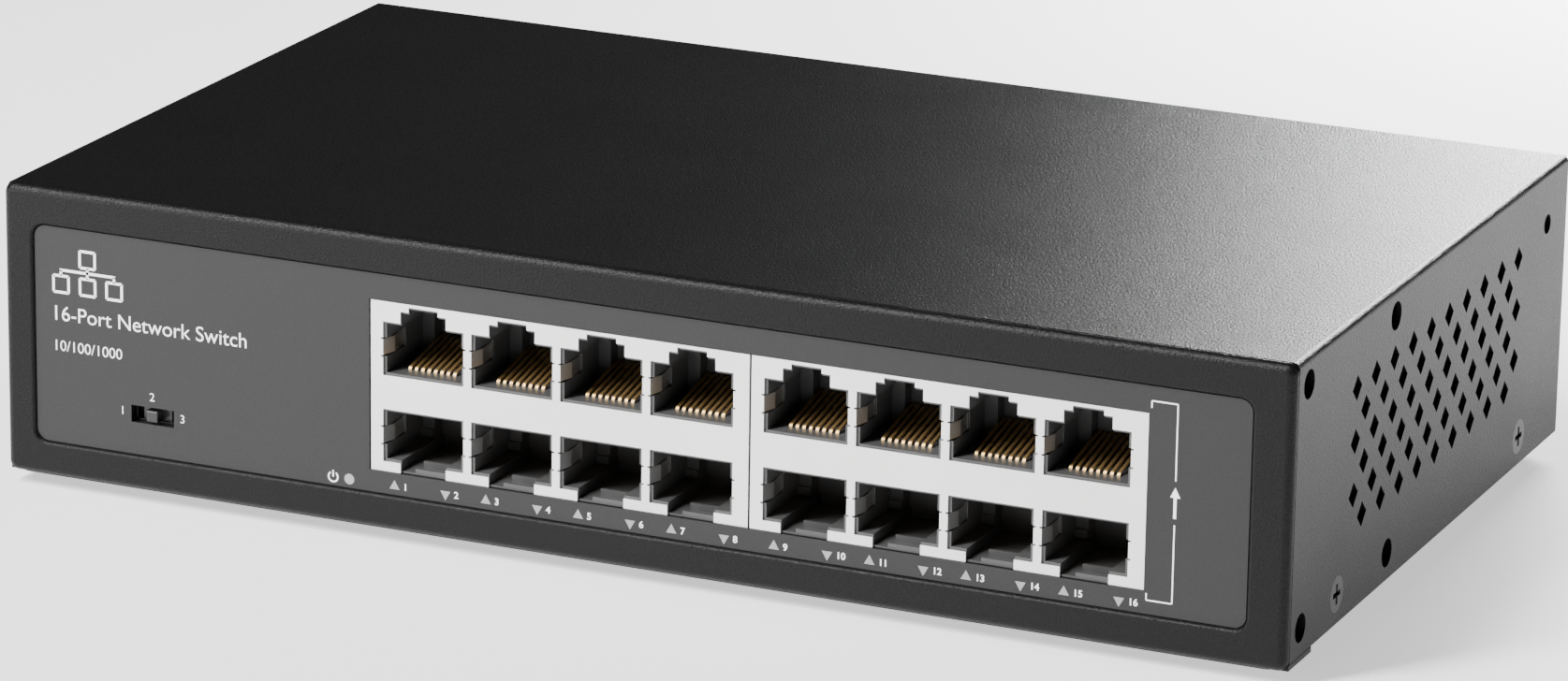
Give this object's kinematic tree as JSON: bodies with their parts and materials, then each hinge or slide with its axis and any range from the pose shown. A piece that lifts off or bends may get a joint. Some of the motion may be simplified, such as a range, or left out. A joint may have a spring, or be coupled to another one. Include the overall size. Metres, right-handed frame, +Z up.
{
  "type": "desktop network switch",
  "caption": "Desktop network switch in a black steel case with two blocks of stacked sockets, a mode slide switch, side vents and bracket holes, and an internal mains supply.",
  "frame": {"origin": "on the floor under the middle of the object's box, with the feet standing on it", "axes": "+X right seen from the front, +Y to the rear, +Z up"},
  "size_m": [0.2, 0.12, 0.046],
  "materials": {
    "case_paint": "fine textured black powder coat, satin",
    "label_film": "dark grey printed film with a fine texture",
    "window_film": "grey translucent print",
    "foot_rubber": "matte moulded rubber",
    "screw_black": "black oxide, semi-gloss",
    "zinc_steel": "zinc plated",
    "circuit_board": "green solder mask",
    "lamp_body": "pale moulded lamp body",
    "plated_shield": "nickel plated sheet, satin",
    "black_moulding": "black moulded thermoplastic, satin",
    "gilt_contact": "gold flash over bronze",
    "lever_plastic": "black moulded plastic, satin",
    "chip_epoxy": "black epoxy moulding",
    "sink_aluminium": "extruded aluminium",
    "can_sleeve": "printed sleeve on an aluminium can",
    "header_nylon": "natural nylon",
    "pin_brass": "nickel plated brass",
    "clear_film": "translucent polyester film",
    "tape_yellow": "yellow polyester tape over ferrite",
    "fuse_plastic": "brown moulded fuse",
    "copper_winding": "enamelled copper wire",
    "lead_brown": "brown insulation",
    "lead_blue": "blue insulation",
    "lead_red": "red insulation",
    "lead_green": "green and yellow insulation"
  },
  "bodies": {
    "case": {"base_pan": "case_paint", "board_capacitors": "can_sleeve", "board_header": "header_nylon", "board_screws": "zinc_steel", "board_standoffs": "zinc_steel", "bridge_rectifier": "chip_epoxy", "bulk_capacitor": "can_sleeve", "case_nuts": "zinc_steel", "choke": "copper_winding", "cover_screws": "screw_black", "crystal": "plated_shield", "earth_lead": "lead_green", "filter_capacitor": "tape_yellow", "front_label": "label_film", "heat_sink": "sink_aluminium", "indicator_leds": "lamp_body", "inlet_pins": "pin_brass", "inlet_screws": "zinc_steel", "insulating_film": "clear_film", "jack_contacts_left": "gilt_contact", "jack_contacts_right": "gilt_contact", "jack_housing_left": "black_moulding", "jack_housing_right": "black_moulding", "jack_shield_left": "plated_shield", "jack_shield_right": "plated_shield", "led_windows": "window_film", "live_lead": "lead_brown", "magnetics_module_1": "chip_epoxy", "magnetics_module_2": "chip_epoxy", "magnetics_module_3": "chip_epoxy", "magnetics_module_4": "chip_epoxy", "magnetics_module_5": "chip_epoxy", "magnetics_module_6": "chip_epoxy", "magnetics_module_7": "chip_epoxy", "magnetics_module_8": "chip_epoxy", "main_board": "circuit_board", "mains_fuse": "fuse_plastic", "mains_inlet": "black_moulding", "memory_chip": "chip_epoxy", "neutral_lead": "lead_blue", "output_capacitors": "can_sleeve", "output_leads": "lead_red", "power_inductors": "chip_epoxy", "power_transistor": "chip_epoxy", "rubber_foot_1": "foot_rubber", "rubber_foot_2": "foot_rubber", "rubber_foot_3": "foot_rubber", "rubber_foot_4": "foot_rubber", "supply_board": "circuit_board", "supply_headers": "header_nylon", "supply_heat_sink": "sink_aluminium", "supply_screws": "zinc_steel", "supply_standoffs": "zinc_steel", "switch_base": "black_moulding", "switch_chip": "chip_epoxy", "switch_frame": "screw_black", "switch_terminals": "gilt_contact", "top_cover": "case_paint", "transformer": "tape_yellow"},
    "lever": {"switch_lever": "lever_plastic"}
  },
  "joints": [
    {"name": "mode_slide", "type": "slide", "parent": "case", "child": "lever", "axis": [1, 0, 0], "range_m": [-0.002, 0.002]}
  ]
}
